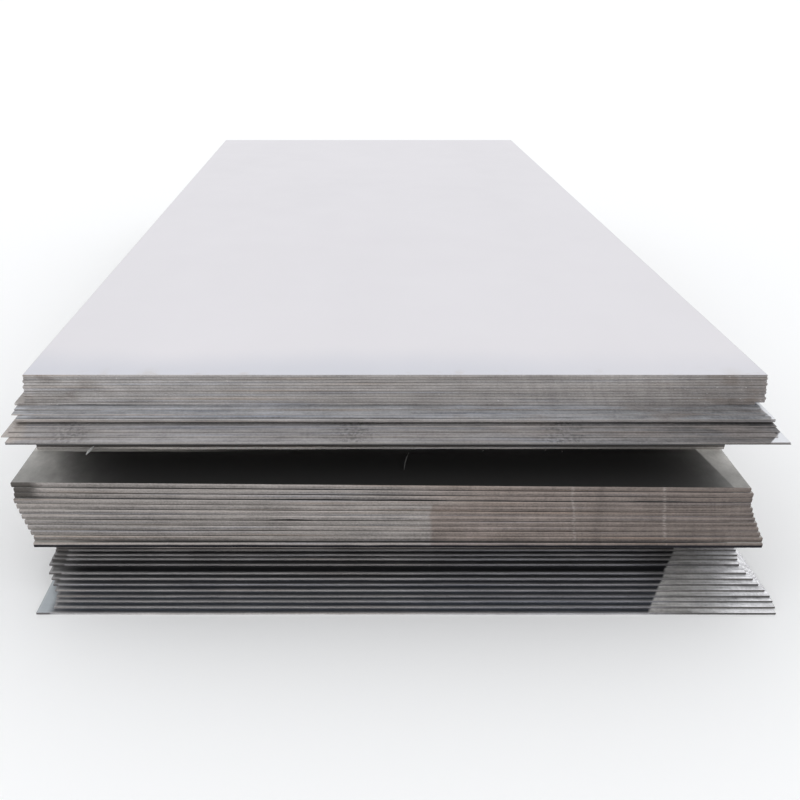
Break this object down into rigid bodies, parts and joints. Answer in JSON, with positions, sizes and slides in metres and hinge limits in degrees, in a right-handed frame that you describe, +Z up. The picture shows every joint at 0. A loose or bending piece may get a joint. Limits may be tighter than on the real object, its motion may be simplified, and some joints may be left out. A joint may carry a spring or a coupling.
{
  "type": "stack of steel plates",
  "caption": "Stack of bare rolled steel plates with sheared edges, laid in flush, stepped and fanned lots of different gauges with recessed lots between them.",
  "frame": {"origin": "centre of the lowest plate's underside, on the floor", "axes": "+X to the right across the plates, +Y along the plates towards the far end, +Z up"},
  "size_m": [1.5755, 3.232, 0.4655],
  "materials": {
    "flush_plate": "bare rolled steel, pale dull face, sheared edges streaked grey",
    "stepped_plate": "bare rolled steel, blue-grey oiled face, sheared edges",
    "upper_recess_plate": "bare rolled steel, dull grey, in shade",
    "heavy_plate": "bare rolled steel with dark mill scale on its face and brown rubbed edges",
    "lower_recess_plate": "bare rolled steel, dull grey, in shade",
    "fanned_plate": "bare rolled steel, dark oiled face turning pale at the right-hand side"
  },
  "bodies": {
    "root": {"flush_plate_01": "flush_plate", "flush_plate_02": "flush_plate", "flush_plate_03": "flush_plate", "flush_plate_04": "flush_plate", "flush_plate_05": "flush_plate", "flush_plate_06": "flush_plate", "flush_plate_07": "flush_plate", "flush_plate_08": "flush_plate", "flush_plate_09": "flush_plate", "flush_plate_10": "flush_plate", "flush_plate_11": "flush_plate", "stepped_plate_01": "stepped_plate", "stepped_plate_02": "stepped_plate", "stepped_plate_03": "stepped_plate", "stepped_plate_04": "stepped_plate", "stepped_plate_05": "stepped_plate", "stepped_plate_06": "stepped_plate", "stepped_plate_07": "stepped_plate", "stepped_plate_08": "stepped_plate", "stepped_plate_09": "stepped_plate", "stepped_plate_10": "stepped_plate", "stepped_plate_11": "stepped_plate", "stepped_plate_12": "stepped_plate", "upper_recess_plate_01": "upper_recess_plate", "upper_recess_plate_02": "upper_recess_plate", "upper_recess_plate_03": "upper_recess_plate", "upper_recess_plate_04": "upper_recess_plate", "upper_recess_plate_05": "upper_recess_plate", "upper_recess_plate_06": "upper_recess_plate", "upper_recess_plate_07": "upper_recess_plate", "upper_recess_plate_08": "upper_recess_plate", "heavy_plate_01": "heavy_plate", "heavy_plate_02": "heavy_plate", "heavy_plate_03": "heavy_plate", "heavy_plate_04": "heavy_plate", "heavy_plate_05": "heavy_plate", "heavy_plate_06": "heavy_plate", "heavy_plate_07": "heavy_plate", "heavy_plate_08": "heavy_plate", "heavy_plate_09": "heavy_plate", "heavy_plate_10": "heavy_plate", "heavy_plate_11": "heavy_plate", "heavy_plate_12": "heavy_plate", "lower_recess_plate_01": "lower_recess_plate", "lower_recess_plate_02": "lower_recess_plate", "lower_recess_plate_03": "lower_recess_plate", "lower_recess_plate_04": "lower_recess_plate", "lower_recess_plate_05": "lower_recess_plate", "fanned_plate_01": "fanned_plate", "fanned_plate_02": "fanned_plate", "fanned_plate_03": "fanned_plate", "fanned_plate_04": "fanned_plate", "fanned_plate_05": "fanned_plate", "fanned_plate_06": "fanned_plate", "fanned_plate_07": "fanned_plate", "fanned_plate_08": "fanned_plate", "fanned_plate_09": "fanned_plate", "fanned_plate_10": "fanned_plate", "fanned_plate_11": "fanned_plate", "fanned_plate_12": "fanned_plate"}
  },
  "joints": []
}
